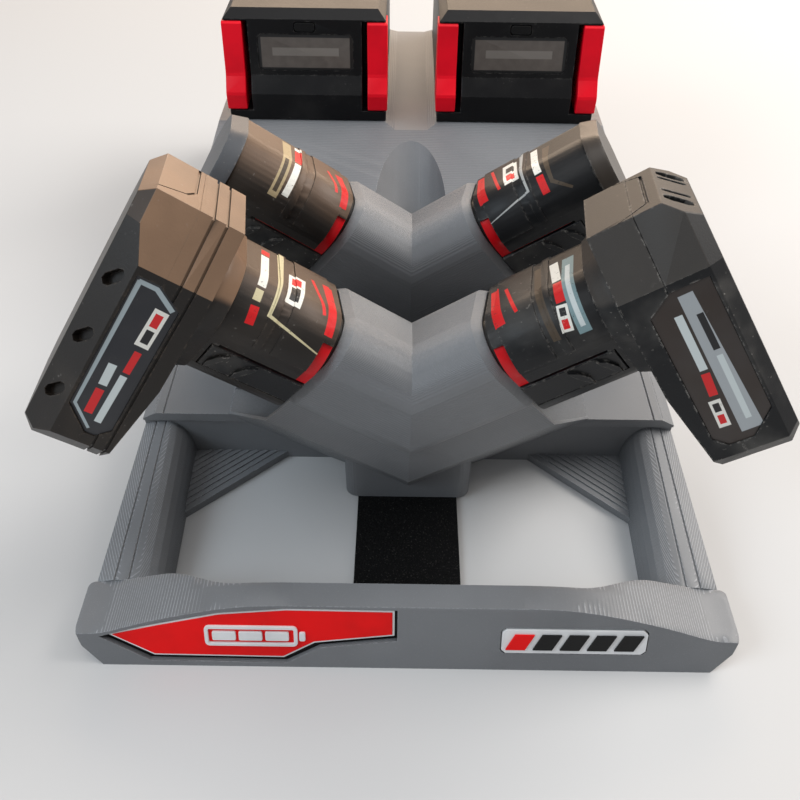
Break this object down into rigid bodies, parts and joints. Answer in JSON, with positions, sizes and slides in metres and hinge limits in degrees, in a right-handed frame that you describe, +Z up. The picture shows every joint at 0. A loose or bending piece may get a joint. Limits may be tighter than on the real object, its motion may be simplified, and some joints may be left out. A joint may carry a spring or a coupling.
{
  "type": "battery caddy",
  "caption": "Grey printed carrier with a grip bar and window, an angled block of trefoil sockets holding stem battery packs, and dock shoes for slide-on packs on a raised rear deck.",
  "frame": {"origin": "centre of the footprint on the underside", "axes": "+X to the right seen from the grip bar, +Y from the bar to the rear deck, +Z up"},
  "size_m": [0.2532, 0.385, 0.1682],
  "materials": {
    "grey_print": "satin grey print with fine layer lines",
    "black_textured": "coarse black loop facing",
    "red_inlay": "smooth bright red",
    "white_trim": "smooth white",
    "black_trim": "plain black",
    "black_pack": "finely textured black moulding",
    "red_pack": "satin red moulding",
    "label_gloss": "glossy black label with a plain grey border"
  },
  "bodies": {
    "caddy": {"base_frame": "grey_print", "front_bar": "grey_print", "side_rail_left": "grey_print", "side_rail_right": "grey_print", "corner_web_left": "grey_print", "corner_web_right": "grey_print", "socket_block": "grey_print", "rear_deck": "grey_print", "dock_shoe_left": "grey_print", "dock_shoe_right": "grey_print", "lock_tongue": "black_textured", "name_plate": "red_inlay", "name_plate_rim": "white_trim", "badge_plate": "white_trim", "badge_block": "red_inlay", "badge_bars": "black_trim", "name_plate_backing": "black_trim"},
    "front_left_pack": {"front_left_stem": "black_pack", "front_left_collar": "red_pack", "front_left_shell": "black_pack", "front_left_brick_inner": "black_pack", "front_left_brick_outer": "black_pack", "front_left_label": "label_gloss"},
    "front_left_tab_front_body": {"front_left_tab_front": "black_pack"},
    "front_left_tab_rear_body": {"front_left_tab_rear": "black_pack"},
    "front_right_pack": {"front_right_stem": "black_pack", "front_right_collar": "red_pack", "front_right_shell": "black_pack", "front_right_brick_inner": "black_pack", "front_right_brick_outer": "black_pack", "front_right_label": "label_gloss"},
    "front_right_tab_front_body": {"front_right_tab_front": "black_pack"},
    "front_right_tab_rear_body": {"front_right_tab_rear": "black_pack"},
    "rear_left_pack": {"rear_left_stem": "black_pack", "rear_left_collar": "red_pack", "rear_left_shell": "black_pack", "rear_left_end_cap": "black_pack"},
    "rear_left_tab_front_body": {"rear_left_tab_front": "black_pack"},
    "rear_left_tab_rear_body": {"rear_left_tab_rear": "black_pack"},
    "rear_right_pack": {"rear_right_stem": "black_pack", "rear_right_collar": "red_pack", "rear_right_shell": "black_pack", "rear_right_end_cap": "black_pack"},
    "rear_right_tab_front_body": {"rear_right_tab_front": "black_pack"},
    "rear_right_tab_rear_body": {"rear_right_tab_rear": "black_pack"},
    "left_rail_pack": {"left_rail_lower": "black_pack", "left_rail_upper": "black_pack", "left_rail_terminals": "black_trim", "left_rail_label": "label_gloss"},
    "left_rail_key_inner_body": {"left_rail_key_inner": "red_pack"},
    "left_rail_key_outer_body": {"left_rail_key_outer": "red_pack"},
    "left_rail_gauge_button_body": {"left_rail_gauge_button": "black_trim"},
    "right_rail_pack": {"right_rail_lower": "black_pack", "right_rail_upper": "black_pack", "right_rail_terminals": "black_trim", "right_rail_label": "label_gloss"},
    "right_rail_key_inner_body": {"right_rail_key_inner": "red_pack"},
    "right_rail_key_outer_body": {"right_rail_key_outer": "red_pack"},
    "right_rail_gauge_button_body": {"right_rail_gauge_button": "black_trim"}
  },
  "joints": [
    {"name": "front_left_pack_lift", "type": "slide", "parent": "caddy", "child": "front_left_pack", "axis": [-0.829, 0, 0.5592], "range_m": [0, 0.045]},
    {"name": "front_left_tab_front_press", "type": "slide", "parent": "front_left_pack", "child": "front_left_tab_front_body", "axis": [0.1258, 0.9744, 0.1865], "range_m": [0, 0.0015], "stiffness_N_per_m": 800},
    {"name": "front_left_tab_rear_press", "type": "slide", "parent": "front_left_pack", "child": "front_left_tab_rear_body", "axis": [0.409, -0.682, 0.6063], "range_m": [0, 0.0015], "stiffness_N_per_m": 800},
    {"name": "front_right_pack_lift", "type": "slide", "parent": "caddy", "child": "front_right_pack", "axis": [0.829, 0, 0.5592], "range_m": [0, 0.045]},
    {"name": "front_right_tab_front_press", "type": "slide", "parent": "front_right_pack", "child": "front_right_tab_front_body", "axis": [-0.1258, 0.9744, 0.1865], "range_m": [0, 0.0015], "stiffness_N_per_m": 800},
    {"name": "front_right_tab_rear_press", "type": "slide", "parent": "front_right_pack", "child": "front_right_tab_rear_body", "axis": [-0.409, -0.682, 0.6063], "range_m": [0, 0.0015], "stiffness_N_per_m": 800},
    {"name": "rear_left_pack_lift", "type": "slide", "parent": "caddy", "child": "rear_left_pack", "axis": [-0.829, 0, 0.5592], "range_m": [0, 0.045]},
    {"name": "rear_left_tab_front_press", "type": "slide", "parent": "rear_left_pack", "child": "rear_left_tab_front_body", "axis": [0.1258, 0.9744, 0.1865], "range_m": [0, 0.0015], "stiffness_N_per_m": 800},
    {"name": "rear_left_tab_rear_press", "type": "slide", "parent": "rear_left_pack", "child": "rear_left_tab_rear_body", "axis": [0.409, -0.682, 0.6063], "range_m": [0, 0.0015], "stiffness_N_per_m": 800},
    {"name": "rear_right_pack_lift", "type": "slide", "parent": "caddy", "child": "rear_right_pack", "axis": [0.829, 0, 0.5592], "range_m": [0, 0.045]},
    {"name": "rear_right_tab_front_press", "type": "slide", "parent": "rear_right_pack", "child": "rear_right_tab_front_body", "axis": [-0.1258, 0.9744, 0.1865], "range_m": [0, 0.0015], "stiffness_N_per_m": 800},
    {"name": "rear_right_tab_rear_press", "type": "slide", "parent": "rear_right_pack", "child": "rear_right_tab_rear_body", "axis": [-0.409, -0.682, 0.6063], "range_m": [0, 0.0015], "stiffness_N_per_m": 800},
    {"name": "left_rail_pack_slide", "type": "slide", "parent": "caddy", "child": "left_rail_pack", "axis": [0, -1, 0], "range_m": [0, 0.09]},
    {"name": "left_rail_key_inner_squeeze", "type": "slide", "parent": "left_rail_pack", "child": "left_rail_key_inner_body", "axis": [-1, 0, 0], "range_m": [0, 0.0024], "stiffness_N_per_m": 1200},
    {"name": "left_rail_key_outer_squeeze", "type": "slide", "parent": "left_rail_pack", "child": "left_rail_key_outer_body", "axis": [1, 0, 0], "range_m": [0, 0.0024], "stiffness_N_per_m": 1200},
    {"name": "left_rail_gauge_button_press", "type": "slide", "parent": "left_rail_pack", "child": "left_rail_gauge_button_body", "axis": [0, 0.9773, -0.2118], "range_m": [0, 0.0008], "stiffness_N_per_m": 600},
    {"name": "right_rail_pack_slide", "type": "slide", "parent": "caddy", "child": "right_rail_pack", "axis": [0, -1, 0], "range_m": [0, 0.09]},
    {"name": "right_rail_key_inner_squeeze", "type": "slide", "parent": "right_rail_pack", "child": "right_rail_key_inner_body", "axis": [1, 0, 0], "range_m": [0, 0.0024], "stiffness_N_per_m": 1200},
    {"name": "right_rail_key_outer_squeeze", "type": "slide", "parent": "right_rail_pack", "child": "right_rail_key_outer_body", "axis": [-1, 0, 0], "range_m": [0, 0.0024], "stiffness_N_per_m": 1200},
    {"name": "right_rail_gauge_button_press", "type": "slide", "parent": "right_rail_pack", "child": "right_rail_gauge_button_body", "axis": [0, 0.9773, -0.2118], "range_m": [0, 0.0008], "stiffness_N_per_m": 600}
  ]
}
